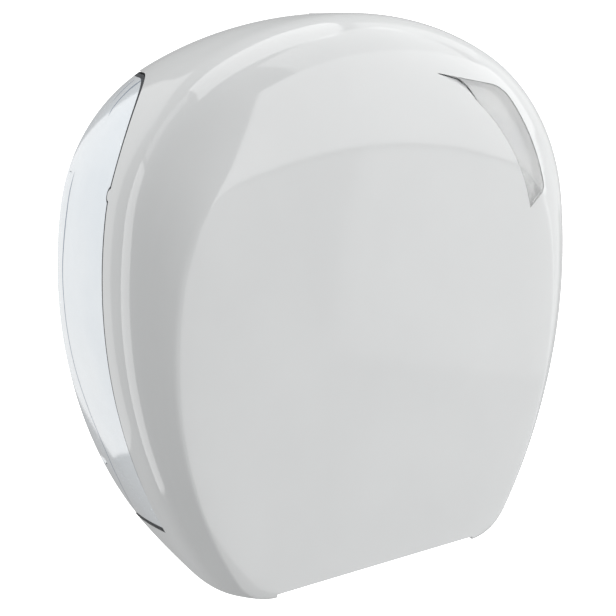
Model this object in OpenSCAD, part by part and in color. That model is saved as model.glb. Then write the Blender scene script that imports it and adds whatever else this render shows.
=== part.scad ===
// Wall dispenser for one jumbo toilet roll: a hinged cover with a crescent window
// closes against a wall plate that carries two clear side casings and the roll spindle.
// X runs to the right as seen from the front, Y runs into the wall and Z runs up.
// The wall face is y = 0. The origin is the centre of the four wall fixings, on the roll axis.
// Heights in the source are measured from the lower edge of the cover and depths from the wall.

/* [Body] */
// Overall height of the cover
body_h = 325; // [318:1:350]
// Overall width of the cover
body_w = 306; // [300:1:330]
// Depth from the wall to the front of the cover
body_d = 130; // [126:1:145]
// Height of the roll axis above the lower edge
axis_h = 172; // [168:1:178]

/* [Front outline] */
// Radius of the crown arc
crown_r = 193; // [180:1:210]
// Angle of the crown arc on each side
crown_a = 27; // [22:1:32]
// Radius of the shoulder arc
shoulder_r = 115; // [105:1:125]
// Angle of the shoulder arc
shoulder_a = 53; // [48:1:56]
// Radius of the side arc
side_r = 300; // [280:1:330]
// Angle of the side arc
side_a = 40; // [36:1:44]
// Radius of the lower corner
corner_r = 33; // [28:1:40]

/* [Depth profile] */
// Share of the full outline that is left at the wall
back_share = 0.97; // [0.96:0.005:0.985]
// Depth at which the cover is widest
girth_d = 78; // [72:1:82]
// Fullness of the rounded edge across the front
edge_n = 9; // [7:0.5:11]
// Flatness of the front face
face_m = 4.6; // [4:0.2:6]

/* [Cover] */
// Wall thickness of the cover
cover_t = 3; // [2.4:0.2:3.4]
// Gap between the cover and the wall
wall_gap = 1; // [0.6:0.2:2]
// Gap between the cover and the side casings
seam_gap = 1; // [0.8:0.1:1.4]
// Width of the floor between the paper outlet and a hinge ear
outlet_land = 3.5; // [3:0.5:8]
// Thickness of the lip left in front of the teeth
lip_cut = 2; // [1:0.5:3]

/* [Side casing] */
// Thickness of the clear casing
casing_t = 2.4; // [2:0.2:2.8]
// How far the casing lies inside the surface of the cover
casing_inset = 0.6; // [0.4:0.1:1]
// Depth of the seam at mid height
seam_d = 86; // [82:1:90]
// Depth of the seam at its lower end
seam_low_d = 95.5; // [92:0.5:98]
// Height of the lower end of the seam
seam_low_h = 41; // [38:1:44]
// Height at which the foot of the casing meets the wall
seam_foot_h = 11; // [10:1:13]
// Radius of the bend in the seam
seam_r = 55; // [48:1:60]
// How far below the crown the casing ends
seam_drop = 34; // [32:1:40]
// Radius of the half-round notch in the casing
notch_r = 4; // [3:0.5:6]
// How far below the crown the notch lies
notch_drop = 92; // [88:1:100]
// Height of the snap tabs above the lower edge
tab_h = [62, 150, 228];
// Width of a snap tab
tab_w = 16; // [12:1:20]
// Depth of the rear face of a snap tab
tab_d = 8; // [6:1:10]

/* [Window] */
// Distance of the inner arc of the window from the side of the cover
window_inset = 43.4; // [41.6:0.2:44.6]
// Centre of the inner arc of the window, below the crown
window_drop = 140.6; // [138:0.2:143]
// Radius of the inner arc of the window
window_r = 116.4; // [112:0.2:118]
// Angle at which the inner arc starts
window_low_a = 13.2; // [12:0.2:15]
// Angle at which the inner arc ends
window_high_a = 67.9; // [66:0.2:69]
// How far the lens lies below the surface
lens_recess = 1; // [0.6:0.2:1.4]
// Thickness of the lens and of its flange
lens_t = 2; // [1.6:0.2:2.4]
// Width of the lens flange behind the cover
lens_flange = 5; // [4:0.5:6]

/* [Wall plate] */
// Thickness of the wall plate
plate_t = 3; // [2.6:0.2:3.2]
// Depth of the rim of the wall plate
rim_d = 22; // [20:1:26]
// Gap between the rim and what lies around it
rim_gap = 1.2; // [1:0.1:1.6]
// Height of the ribs on the wall plate
rib_h = 4; // [3:0.5:5]
// Thickness of the ribs
rib_t = 2; // [1.6:0.2:2.6]
// Spacing of the ribs
rib_pitch = 38; // [34:1:42]
// Distance between the wall fixings across the plate
fix_w = 150; // [140:1:160]
// Distance between the wall fixings up the plate
fix_h = 170; // [160:1:180]
// Radius of a wall fixing hole
fix_r = 2.75; // [2.25:0.25:3.25]

/* [Hinge] */
// Distance of the hinge axis from the wall
hinge_d = 7; // [6.8:0.1:7.6]
// Height of the hinge axis above the lower edge
hinge_h = 6.5; // [6:0.1:6.6]
// Distance of each hinge from the end of the flat floor
hinge_inset = 4.3; // [2.5:0.1:6]
// Radius of the hinge pins
pin_r = 2; // [1.6:0.2:2.2]
// Thickness of a hinge ear
ear_t = 5; // [4:0.5:5.5]
// Gap on each side of an ear
ear_gap = 0.4; // [0.3:0.1:0.6]
// Running clearance of the pins
pin_fit = 0.05; // [0.03:0.01:0.08]

/* [Spindle and hub] */
// Radius of the spindle
spindle_r = 10; // [8:0.5:11]
// Radius of the hub that carries the core
hub_r = 28; // [26:0.5:29]
// Gap between the hub and the inside of the cover
hub_gap = 15.8; // [10:0.2:20]
// Wall thickness of the hub
hub_t = 2.5; // [2:0.5:3]
// Radius of the flange behind the roll
hub_flange_r = 42; // [38:1:48]
// Running clearance of the bushes
bush_fit = 0.06; // [0.03:0.01:0.09]

/* [Lock and keeper] */
// Distance of the lock axis from the wall
lock_d = 67; // [64:1:70]
// Radius of the round lock plate in the crown
bezel_r = 11; // [10:0.5:12]
// Radius of the key well and of the barrel
barrel_r = 6; // [5.5:0.25:6.5]
// Depth of the key well
well_d = 4; // [3:0.5:5]
// Radius of the hole in which the latch cam takes the keeper post
hook_r = 10; // [9.5:0.25:10.5]
// Radius of the keeper post
post_r = 2.5; // [2:0.25:2.75]

/* [Tear strip] */
// Pitch of the teeth
tooth_pitch = 3; // [2.5:0.5:4]
// Depth of the teeth
tooth_h = 1.8; // [1.2:0.2:2.4]
// Height of the strip
strip_h = 14; // [12:1:18]
// Thickness of the strip
strip_t = 2.2; // [1.8:0.2:2.6]

/* [Hidden] */
far = 400;
fine = 96;

// Arc centres of one half of the outline, as [x, height below the crown]
angle_1 = crown_a;
angle_2 = angle_1 + shoulder_a;
angle_3 = angle_2 + side_a;
centre_1 = [0, -crown_r];
centre_2 = centre_1 + (crown_r - shoulder_r) * [sin(angle_1), cos(angle_1)];
centre_3 = centre_2 + (shoulder_r - side_r) * [sin(angle_2), cos(angle_2)];
centre_4 = centre_3 + (side_r - corner_r) * [sin(angle_3), cos(angle_3)];
plain_w = 2 * (centre_3.x + side_r);
plain_h = corner_r - centre_4.y;
stretch_x = body_w / plain_w;
stretch_h = body_h / plain_h;
floor_half = centre_4.x * stretch_x;
hinge_x = floor_half - hinge_inset;
outlet_half = hinge_x - ear_t / 2 - outlet_land;

function arc(c, r, from, to, n) =
    [for (i = [1:n]) c + r * [sin(from + (to - from) * i / n), cos(from + (to - from) * i / n)]];

// Right half of the outline from the crown to the floor, drawn in by a wall thickness
function half_outline(inset) = [
    for (p = concat(
        [[0, -inset]],
        arc(centre_1, crown_r - inset, 0, angle_1, 7),
        arc(centre_2, shoulder_r - inset, angle_1, angle_2, 12),
        arc(centre_3, side_r - inset, angle_2, angle_3, 9),
        arc(centre_4, corner_r - inset, angle_3, 180, 8)
    )) [p.x * stretch_x, (plain_h + p.y) * stretch_h]
];

function outline(inset) =
    let (half = half_outline(inset), last = len(half) - 1)
    concat(half, [for (i = [last:-1:1]) [-half[i].x, half[i].y]]);

// Half width of the outline at a height, for a share of the full outline
function half_width(h, share, inset) =
    let (half = half_outline(inset), last = len(half) - 1)
    share * lookup(h / share, [for (i = [last:-1:0]) [half[i].y, half[i].x]]);

// Share of the full outline at a depth, up to the girth
function share_at(d) =
    back_share + (1 - back_share) * (1 - pow(1 - min(d, girth_d) / girth_d, 2));

// Depth of the front face for a share of the outline
function depth_at(share) =
    girth_d + (body_d - girth_d) * pow(1 - pow(min(share, 1), edge_n), 1 / face_m);

// Rings of the body as [share of the outline, depth]
side_steps = 6;
front_steps = 12;
rings = concat(
    [for (i = [1:side_steps]) [share_at(girth_d * i / side_steps), girth_d * i / side_steps]],
    [for (i = [1:front_steps - 1])
        let (share = pow(cos(90 * i / front_steps), 2 / edge_n)) [share, depth_at(share)]]
);

// Closed body of the outline scaled about the middle of the floor, drawn in by a wall thickness.
// It starts at back_y and takes the rings from first to last, closed by the middle of the floor.
module body(inset, back_y, first = 0, last = len(rings)) {
    edge = outline(inset);
    count = len(edge);
    back = first == 0 ? back_share : rings[first - 1][0];
    used = [for (i = [first:last - 1]) rings[i]];
    end_d = last == len(rings) ? body_d : rings[last - 1][1];
    points = concat(
        [for (p = edge) [p.x * back, back_y, p.y * back]],
        [for (r = used) for (p = edge) [p.x * r[0], inset - r[1], p.y * r[0]]],
        [[0, inset - end_d, 0]]
    );
    steps = len(used);
    pole = len(points) - 1;
    faces = concat(
        [[for (i = [count - 1:-1:0]) i]],
        [for (j = [0:steps - 1]) for (i = [0:count - 1])
            [j * count + i, j * count + (i + 1) % count, (j + 1) * count + (i + 1) % count]],
        [for (j = [0:steps - 1]) for (i = [0:count - 1])
            [j * count + i, (j + 1) * count + (i + 1) % count, (j + 1) * count + i]],
        [for (i = [0:count - 1]) [steps * count + i, steps * count + (i + 1) % count, pole]]
    );
    polyhedron(points, faces, convexity = 6);
}

// Moves a piece drawn from the lower edge to the row's origin
module seat() {
    translate([0, 0, -axis_h]) children();
}

// A (depth, height) drawing swept across X
module across(x0, x1) {
    translate([x0, 0, 0]) rotate([90, 0, 90]) linear_extrude(x1 - x0) children();
}

// A (width, height) drawing swept from one depth to a greater one
module forward(d0, d1) {
    translate([0, -d0, 0]) rotate([90, 0, 0]) linear_extrude(d1 - d0) children();
}

// A round piece that stands on the wall side at a depth
module forward_disc(r, d0, d1) {
    translate([0, -d0, 0]) rotate([90, 0, 0]) cylinder(r = r, h = d1 - d0, $fn = fine);
}

// A piece of revolution about the roll axis, drawn as (radius, depth)
module about_roll() {
    translate([0, 0, axis_h]) rotate([90, 0, 0]) rotate_extrude($fn = fine) children();
}

seam_top_h = body_h - seam_drop;
seam_bend_h = seam_top_h - seam_r;
foot_slope = (seam_low_h - seam_foot_h) / seam_low_d;

// Side view of the space that the casing fills, with the wall on the right
module seam_profile() {
    polygon(concat(
        [[10, seam_foot_h - 10 * foot_slope], [-seam_low_d, seam_low_h], [-seam_d, seam_bend_h]],
        [for (i = [1:10]) [
            seam_r - seam_d - seam_r * cos(90 * i / 10),
            seam_bend_h + seam_r * sin(90 * i / 10)
        ]],
        [[10, seam_top_h]]
    ));
}

function turn_right(p, heading, r, turn, n) = [
    for (i = [1:n])
        p + r * [sin(heading), -cos(heading)]
        - r * [sin(heading - turn * i / n), -cos(heading - turn * i / n)]
];

function last_of(list) = list[len(list) - 1];

window_x = body_w / 2 - window_inset - window_r;
window_h = body_h - window_drop;
window_inner = [
    for (i = [0:12])
        let (a = window_low_a + (window_high_a - window_low_a) * i / 12)
        [window_x + window_r * cos(a), window_h + window_r * sin(a)]
];
window_top_l = 42;
window_shoulder_r = 25;
window_tip_r = 7;
top_heading = -10;
shoulder_turn = 40;
side_turn = 28;
tip_turn = 72;
window_corner = last_of(window_inner) + window_top_l * [cos(top_heading), sin(top_heading)];
window_shoulder = turn_right(window_corner, top_heading, window_shoulder_r, shoulder_turn, 5);
window_side = turn_right(
    last_of(window_shoulder), top_heading - shoulder_turn, window_r, side_turn, 8);
window_tip = turn_right(
    last_of(window_side), top_heading - shoulder_turn - side_turn, window_tip_r, tip_turn, 5);

module window_outline() {
    polygon(concat(window_inner, [window_corner], window_shoulder, window_side, window_tip));
}

// Lock stack, as heights
crown_h = body_h * share_at(lock_d);
bezel_t = 1.4;
pad_t = 2.4;
pad_rim = 4;
pad_h = crown_h - cover_t - pad_t;
nut_t = 4;
nut_rim = 4.5;
thread_spare = 2.4;
housing_foot_h = pad_h - nut_t - thread_spare;
barrel_top_h = crown_h - well_d;
cam_top_h = housing_foot_h - 0.8;
cam_t = 2.6;
housing_r = 8.5;
housing_fit = 0.3;
stub_w = 5;
close_fit = 0.05;
slot_r = 3.8;
slot_w = 3.2;
slot_h = 5;
ledge_h = barrel_top_h - 4;
ledge_w = 1;
cam_gap = 2.8;
keeper_t = 2.8;
keeper_top_h = cam_top_h - cam_t - cam_gap;
post_top_h = cam_top_h - 0.4;
post_d = lock_d - hook_r;
keeper_half = 8;
keeper_foot_half = 20;
keeper_foot_h = 22;
keeper_boss_rim = 4;
gusset_t = 2;
gusset_l = 34;
gusset_h = 1.6;
gusset_slope = 4;

// Spindle stack, as depths
centre_boss_d = 8;
centre_boss_r = 38;
flange_t = 4;
flange_r = 34;
neck_r = 17;
neck_l = 3.6;
shoulder_d = centre_boss_d + flange_t + neck_l;
washer_t = 1.5;
end_play = 0.1;
hub_back_d = shoulder_d + washer_t + end_play;
hub_flange_t = 3;
hub_front_d = body_d - cover_t - hub_gap;
nose_l = 4;
bush_t = 3;
bush_r = spindle_r + bush_t;
bush_l = 14;
spindle_end_d = hub_front_d + 2 * end_play;
finger_hole_r = 3.6;
finger_half = 7;
finger_l = 34;
finger_from = 14;
finger_cut = 1.5;

// Screws
screw_r = 1.9;
screw_l = 8;
retaining_l = 11;
screw_head_r = 3.6;
screw_head_t = 2.2;
screw_fit = 0.1;
cross_half = 1.9;
cross_w = 0.9;
screw_pcd = 54;
keeper_screw_x = 12;
fix_boss_r = 9;
fix_head_rim = 3;

// Tear strip stack
strip_half = outlet_half - 3;
strip_gap = 0.3;
stake_x = (strip_half - 19) * [-1, 0, 1];
stake_h = 9;
stake_r = 1.5;
stake_head_r = 2.8;
stake_head_t = 1.2;
stake_head_gap = 0.2;

module hinge_outline(r) {
    translate([-hinge_d, hinge_h]) circle(r = r, $fn = 48);
}

ear_r = hinge_h - 1.3;
ear_l = 24;
lug_h = 3.4 * ear_r;
lug_far = ear_t * 1.5 + ear_gap;
hinge_room = hinge_x + lug_far + 1;

module wall_plate_outline(inset) {
    intersection() {
        polygon([for (p = outline(cover_t + rim_gap + inset)) back_share * p]);
        translate([-far / 2, 2 * hinge_h]) square(far);
    }
}

module hinge_lug(x) {
    difference() {
        across(x, x + ear_t) {
            hinge_outline(ear_r);
            translate([-hinge_d - ear_r, hinge_h]) square([hinge_d + ear_r, lug_h]);
        }
        translate([x - 1, -hinge_d, hinge_h]) rotate([0, 90, 0])
            cylinder(r = pin_r + pin_fit / 2, h = ear_t + 2, $fn = 48);
    }
}

module wall_plate_ribs() {
    forward(plate_t / 2, plate_t + rib_h) intersection() {
        wall_plate_outline(1);
        union() {
            for (i = [-3:3])
                translate([i * rib_pitch - rib_t / 2, 0]) square([rib_t, far]);
            for (i = [-3:3])
                translate([-far / 2, axis_h + i * rib_pitch - rib_t / 2]) square([far, rib_t]);
        }
    }
}

module fixing_places() {
    for (x = [-fix_w / 2, fix_w / 2])
        for (h = [axis_h - fix_h / 2, axis_h + fix_h / 2])
            translate([x, 0, h]) children();
}

module tab_space(grow) {
    for (h = tab_h)
        translate([-far / 2, -tab_d - tab_w / 2 - grow, h - tab_w / 2 - grow])
            cube([far, tab_w / 2 + 2 * grow, tab_w + 2 * grow]);
}

keeper_seat_h = keeper_top_h - keeper_t - keeper_foot_h;

module wall_plate() {
    color("whitesmoke") seat() difference() {
        union() {
            forward(0, plate_t) wall_plate_outline(0);
            forward(0, rim_d) difference() {
                wall_plate_outline(0);
                offset(delta = -rib_t) wall_plate_outline(0);
            }
            wall_plate_ribs();
            translate([0, 0, axis_h]) forward_disc(centre_boss_r, plate_t / 2, centre_boss_d);
            fixing_places() forward_disc(fix_boss_r, plate_t / 2, centre_boss_d);
            forward(plate_t / 2, centre_boss_d) offset(delta = keeper_boss_rim) keeper_foot();
            for (side = [-1, 1]) {
                hinge_lug(side * hinge_x - lug_far);
                hinge_lug(side * hinge_x + lug_far - ear_t);
            }
        }
        fixing_places() forward_disc(fix_r, -1, centre_boss_d + 1);
        fixing_places()
            forward_disc(fix_r + fix_head_rim, centre_boss_d - plate_t, centre_boss_d + 1);
        tab_space(0.4);
        spindle_screw_places() forward_disc(screw_r, plate_t, centre_boss_d + 1);
        keeper_screw_places() forward_disc(screw_r, plate_t, centre_boss_d + 1);
    }
}

module spindle_screw_places() {
    for (i = [0:2])
        translate([screw_pcd / 2 * sin(120 * i), 0, axis_h + screw_pcd / 2 * cos(120 * i)]) children();
}

module keeper_foot() {
    translate([-keeper_foot_half, keeper_seat_h]) square([2 * keeper_foot_half, keeper_foot_h]);
}

module keeper_screw_places() {
    for (x = keeper_screw_x * [-1, 1])
        translate([x, 0, keeper_seat_h + keeper_foot_h / 2]) children();
}

// A pan-head screw seated at a depth, with a cross recess
module pan_screw(seat_d, length) {
    difference() {
        union() {
            forward_disc(screw_r - 0.05, seat_d - length, seat_d);
            translate([0, -seat_d, 0]) rotate([90, 0, 0])
                rotate_extrude($fn = 48) polygon([
                    [0, 0], [screw_head_r, 0], [screw_head_r, 0.45 * screw_head_t],
                    [0.8 * screw_head_r, 0.85 * screw_head_t], [0.45 * screw_head_r, screw_head_t],
                    [0, screw_head_t]
                ]);
        }
        for (a = [0, 90])
            rotate([0, a, 0]) translate([-cross_w / 2, -seat_d - screw_head_t - 1, -cross_half])
                cube([cross_w, 2, 2 * cross_half]);
    }
}

module side_casing() {
    difference() {
        union() {
            intersection() {
                difference() {
                    body(casing_inset, 0, last = side_steps + 2);
                    body(casing_inset + casing_t, 6, last = side_steps + 2);
                }
                across(-far / 2, 0) seam_profile();
            }
            casing_tabs();
        }
        translate([-far, -seam_d - 1, body_h - notch_drop]) rotate([0, 90, 0])
            cylinder(r = notch_r, h = far, $fn = 48);
        translate([-far, -0.3, 0]) cube(far);
    }
}

module casing_tabs() {
    for (h = tab_h) {
        wall_x = half_width(h, share_at(tab_d), casing_inset + casing_t);
        rim_x = half_width(h, back_share, cover_t + rim_gap + rib_t);
        translate([-wall_x - 0.6, -tab_d - tab_w / 2, h - tab_w / 2])
            cube([wall_x - rim_x + 4, tab_w / 2, tab_w]);
    }
}

module side_casing_left() {
    color([0.84, 0.9, 0.95, 0.5]) seat() side_casing();
}

module side_casing_right() {
    color([0.84, 0.9, 0.95, 0.5]) seat() mirror([1, 0, 0]) side_casing();
}

module hinge_pin() {
    pin_l = 3 * ear_t + 2 * ear_gap;
    translate([hinge_x - pin_l / 2, -hinge_d, hinge_h]) rotate([0, 90, 0]) {
        cylinder(r = pin_r, h = pin_l, $fn = 48);
        translate([0, 0, -1.2]) cylinder(r = pin_r + 1.4, h = 1.2, $fn = 48);
    }
}

module hinge_pin_left() {
    color("silver") seat() mirror([1, 0, 0]) hinge_pin();
}

module hinge_pin_right() {
    color("silver") seat() hinge_pin();
}

module roll_spindle() {
    flange_d = centre_boss_d + flange_t;
    color("gainsboro") seat() difference() {
        about_roll() polygon([
            [0, centre_boss_d], [flange_r, centre_boss_d], [flange_r, flange_d - 1],
            [flange_r - 1, flange_d], [neck_r, flange_d], [neck_r, shoulder_d],
            [spindle_r, shoulder_d],
            [spindle_r, spindle_end_d - 1], [spindle_r - 1, spindle_end_d], [0, spindle_end_d]
        ]);
        spindle_screw_places()
            forward_disc(screw_r + screw_fit, centre_boss_d - 1, flange_d + 1);
        translate([0, 0, axis_h])
            forward_disc(screw_r, spindle_end_d - retaining_l - 1, spindle_end_d + 1);
    }
}

module spindle_screws() {
    color("silver") seat() spindle_screw_places()
        pan_screw(centre_boss_d + flange_t, screw_l);
}

module brake_washer() {
    color("dimgray") seat() about_roll()
        translate([spindle_r + 0.5, shoulder_d]) square([neck_r - spindle_r - 0.5, washer_t]);
}

module retaining_washer() {
    color("silver") seat() about_roll()
        translate([screw_r + 0.3, spindle_end_d]) square([spindle_r + 2, washer_t]);
}

module retaining_screw() {
    color("silver") seat() translate([0, 0, axis_h]) pan_screw(spindle_end_d + washer_t, retaining_l);
}

module latch_keeper() {
    seat_y = -centre_boss_d;
    color("gainsboro") seat() difference() {
        union() {
            forward(centre_boss_d, centre_boss_d + keeper_t) {
                keeper_foot();
                translate([0, keeper_t]) keeper_foot();
            }
            translate([-keeper_half, -post_d, keeper_top_h - keeper_t])
                cube([2 * keeper_half, post_d - centre_boss_d, keeper_t]);
            translate([0, -post_d, keeper_top_h - keeper_t])
                cylinder(r = keeper_half, h = keeper_t, $fn = 64);
            for (x = [-keeper_half, keeper_half - gusset_t])
                across(x, x + gusset_t) polygon([
                    [seat_y, keeper_top_h - 1], [seat_y - gusset_l, keeper_top_h - 1],
                    [seat_y - gusset_l + gusset_slope, keeper_top_h + gusset_h],
                    [seat_y, keeper_top_h + gusset_h]
                ]);
            translate([0, -post_d, keeper_top_h - 1])
                cylinder(r = post_r, h = post_top_h - keeper_top_h + 1, $fn = 64);
        }
        keeper_screw_places()
            forward_disc(screw_r + screw_fit, centre_boss_d - 1, centre_boss_d + keeper_t + 1);
    }
}

module keeper_screws() {
    color("silver") seat() keeper_screw_places() pan_screw(centre_boss_d + keeper_t, screw_l - 1);
}

module roll_hub() {
    nose_d = hub_front_d - nose_l;
    color("white") seat() difference() {
        union() {
            about_roll() polygon([
                [bush_r, hub_back_d], [hub_flange_r - 1, hub_back_d],
                [hub_flange_r, hub_back_d + 1], [hub_flange_r, hub_back_d + hub_flange_t],
                [hub_r, hub_back_d + hub_flange_t], [hub_r, nose_d], [hub_r - 3, hub_front_d],
                [bush_r, hub_front_d], [bush_r, hub_front_d - hub_t],
                [hub_r - 3, hub_front_d - hub_t], [hub_r - hub_t, nose_d - 1],
                [hub_r - hub_t, hub_back_d + hub_flange_t],
                [bush_r, hub_back_d + hub_flange_t]
            ]);
            about_roll() translate([bush_r, hub_back_d])
                square([hub_t, hub_front_d - hub_back_d]);
            for (i = [0:5])
                translate([0, 0, axis_h]) rotate([0, 60 * i, 0])
                    translate([-rib_t / 2, -hub_front_d + 1, bush_r + 1])
                    cube([rib_t, hub_front_d - hub_back_d - 2, hub_r - bush_r - 2]);
        }
        for (i = [0:5])
            translate([0, 0, axis_h]) rotate([0, 60 * i + 30, 0])
                translate([0, 0, (bush_r + hub_r) / 2])
                forward_disc(finger_hole_r, hub_front_d - 10, hub_front_d + 1);
        for (i = [0:2])
            translate([0, 0, axis_h]) rotate([0, 120 * i + 30, 0])
                finger_slots();
    }
}

// Two slots and a cross cut that free a springy finger in the hub wall
module finger_slots() {
    for (x = [-finger_half, finger_half - finger_cut])
        translate([x, -hub_front_d + finger_from, hub_r - hub_t - 1])
            cube([finger_cut, finger_l, hub_t + 2]);
    translate([-finger_half, -hub_front_d + finger_from, hub_r - hub_t - 1.5])
        cube([2 * finger_half, finger_cut, hub_t + 3]);
}

module hub_bush(d) {
    about_roll() translate([spindle_r + bush_fit, d]) square([bush_t - bush_fit, bush_l]);
}

module hub_bush_rear() {
    color("ivory") seat() hub_bush(hub_back_d);
}

module hub_bush_front() {
    color("ivory") seat() hub_bush(hub_front_d - bush_l);
}

module cover_ear(x) {
    across(x - ear_t / 2, x + ear_t / 2) {
        hinge_outline(ear_r);
        translate([-hinge_d - ear_l, hinge_h - ear_r]) square([ear_l, 2 * ear_r]);
        translate([-hinge_d - ear_l, 0]) square([ear_l - 2 * ear_r, hinge_h]);
    }
}

// Plan of the front wall above the floor, as [x, y], drawn in by a thickness
function front_plan(inset, half) =
    [for (i = [-8:8]) let (x = half * i / 8) [x, inset - depth_at(abs(x) / floor_half)]];

module stakes(r, from, length) {
    for (x = stake_x)
        translate([x, -depth_at(abs(x) / floor_half) + from + length, stake_h]) rotate([90, 0, 0])
            cylinder(r = r, h = length, $fn = 32);
}

module cover_shell() {
    floor_start = hinge_d + ear_r + 1.8;
    color("white") seat() difference() {
        union() {
            difference() {
                body(0, 0);
                body(cover_t, 6);
                across(-far / 2, far / 2) offset(delta = seam_gap) seam_profile();
                translate([-far / 2, -wall_gap, -1]) cube([far, far, far]);
                translate([-far / 2, -hinge_d - pin_fit, -1]) cube([far, far, 2.6 * hinge_h]);
                translate([-hinge_room, -floor_start, -1]) cube([2 * hinge_room, far, 2 * hinge_h]);
                forward(0, body_d - cover_t - 2.5) translate([-outlet_half, -1])
                    square([2 * outlet_half, cover_t + 4]);
                forward(0, body_d + 1) translate([-strip_half - 0.4, -1])
                    square([2 * strip_half + 0.8, 1 + lip_cut]);
                translate([0, 0, -1]) linear_extrude(cover_t + 3)
                    polygon(concat(
                        front_plan(cover_t, outlet_half),
                        [[outlet_half, -body_d / 2], [-outlet_half, -body_d / 2]]
                    ));
            }
            for (side = [-1, 1]) cover_ear(side * hinge_x);
            translate([0, -lock_d, pad_h])
                cylinder(r = bezel_r + pad_rim, h = pad_t + 0.6, $fn = 64);
            stakes(stake_r, cover_t - 1, strip_t + strip_gap + 1.6);
            stakes(stake_head_r, cover_t + strip_gap + strip_t + stake_head_gap, stake_head_t);
        }
        for (side = [-1, 1])
            translate([side * hinge_x - ear_t, -hinge_d, hinge_h]) rotate([0, 90, 0])
                cylinder(r = pin_r + pin_fit, h = 2 * ear_t, $fn = 48);
        translate([0, -lock_d, pad_h - 1])
            cylinder(r = housing_r + housing_fit, h = far, $fn = 64);
        translate([0, -lock_d, crown_h - bezel_t]) cylinder(r = bezel_r + 0.2, h = 9, $fn = 64);
        forward(0, far) window_outline();
    }
}

// First ring in front of the girth that the lens needs
lens_ring = side_steps + 1;

module window_lens() {
    color([0.85, 0.88, 0.92, 0.5]) seat() difference() {
        union() {
            intersection() {
                body(lens_recess, -girth_d, first = lens_ring);
                forward(girth_d + 2, far) offset(delta = -strip_gap) window_outline();
            }
            intersection() {
                body(cover_t + strip_gap, -girth_d, first = lens_ring);
                forward(girth_d + 2, far) offset(r = lens_flange, $fn = 32) window_outline();
            }
        }
        body(cover_t + strip_gap + lens_t, -girth_d, first = lens_ring);
    }
}

module tear_strip() {
    teeth = floor(2 * strip_half / tooth_pitch);
    edge = teeth * tooth_pitch / 2;
    back = front_plan(cover_t + strip_gap + strip_t, strip_half);
    color("white") seat() difference() {
        linear_extrude(strip_h) polygon(concat(
            front_plan(cover_t + strip_gap, strip_half),
            [for (i = [len(back) - 1:-1:0]) back[i]]
        ));
        forward(body_d / 2, far) polygon(concat(
            [for (i = [0:teeth - 1]) each [
                [-edge + tooth_pitch * i, tooth_h],
                [-edge + tooth_pitch * (i + 0.5), 0]
            ]],
            [[edge, tooth_h], [far, tooth_h], [far, -1], [-far, -1], [-far, tooth_h]]
        ));
        stakes(stake_r + 0.1, cover_t, 9);
    }
}

module lock_housing() {
    color("white") seat() translate([0, -lock_d, 0]) rotate_extrude($fn = fine) polygon([
        [barrel_r + bush_fit, ledge_h], [barrel_r - ledge_w + bush_fit, ledge_h],
        [barrel_r - ledge_w + bush_fit, housing_foot_h], [housing_r, housing_foot_h],
        [housing_r, crown_h - bezel_t], [bezel_r, crown_h - bezel_t],
        [bezel_r, crown_h - 0.5], [bezel_r - 0.5, crown_h],
        [barrel_r + 0.6, crown_h], [barrel_r + bush_fit, crown_h - 0.6]
    ]);
}

module lock_nut() {
    color("gainsboro") seat() translate([0, -lock_d, pad_h - nut_t]) difference() {
        cylinder(r = housing_r + nut_rim, h = nut_t, $fn = 6);
        translate([0, 0, -1]) cylinder(r = housing_r + close_fit, h = nut_t + 2, $fn = fine);
    }
}

module lock_barrel() {
    color("darkslategray") seat() translate([0, -lock_d, 0]) difference() {
        union() {
            translate([0, 0, ledge_h + bush_fit])
                cylinder(r = barrel_r, h = barrel_top_h - ledge_h - bush_fit, $fn = fine);
            translate([0, 0, cam_top_h])
                cylinder(r = barrel_r - ledge_w, h = ledge_h + 1 - cam_top_h, $fn = fine);
            translate([-stub_w / 2, -stub_w / 2, cam_top_h - cam_t])
                cube([stub_w, stub_w, cam_t + 1]);
        }
        translate([0, 0, barrel_top_h - slot_h]) intersection() {
            cylinder(r = slot_r, h = slot_h + 1, $fn = 64);
            translate([-slot_r, -slot_w / 2, 0]) cube([2 * slot_r, slot_w, slot_h + 1]);
        }
        translate([0, 0, cam_top_h - cam_t - 1]) cylinder(r = 1.2, h = 6.5, $fn = 32);
    }
}

cam_ring_r = hook_r + post_r + 0.5;
cam_hub_r = hook_r - post_r - 0.5;
cam_ring_t = 4;
cam_from_a = -35;
cam_to_a = 38;
cam_arm_a = 17;

function sector(r, from, to) = concat(
    [[0, 0]],
    [for (i = [0:8]) r * [cos(from + (to - from) * i / 8), sin(from + (to - from) * i / 8)]]
);

module latch_cam() {
    reach = cam_ring_r + cam_ring_t;
    color("silver") seat() translate([0, -lock_d, cam_top_h - cam_t]) difference() {
        union() {
            cylinder(r = cam_hub_r, h = cam_t, $fn = fine);
            intersection() {
                difference() {
                    cylinder(r = reach, h = cam_t, $fn = fine);
                    translate([0, 0, -1]) cylinder(r = cam_ring_r, h = cam_t + 2, $fn = fine);
                }
                linear_extrude(cam_t) polygon(sector(2 * reach, cam_from_a, cam_to_a));
            }
            intersection() {
                cylinder(r = reach - 0.5, h = cam_t, $fn = fine);
                linear_extrude(cam_t)
                    polygon(sector(2 * reach, cam_from_a, cam_from_a + cam_arm_a));
            }
        }
        translate([-stub_w / 2 - close_fit, -stub_w / 2 - close_fit, -1])
            cube([stub_w + 2 * close_fit, stub_w + 2 * close_fit, cam_t + 2]);
    }
}

module cam_screw() {
    head_t = 1.8;
    color("silver") seat() translate([0, -lock_d, cam_top_h - cam_t]) difference() {
        union() {
            translate([0, 0, -head_t]) cylinder(r = 4.6, h = head_t, $fn = 48);
            cylinder(r = 1.15, h = 5, $fn = 32);
        }
        translate([-0.4, -3, -head_t - 1]) cube([0.8, 6, 1.9]);
    }
}

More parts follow.
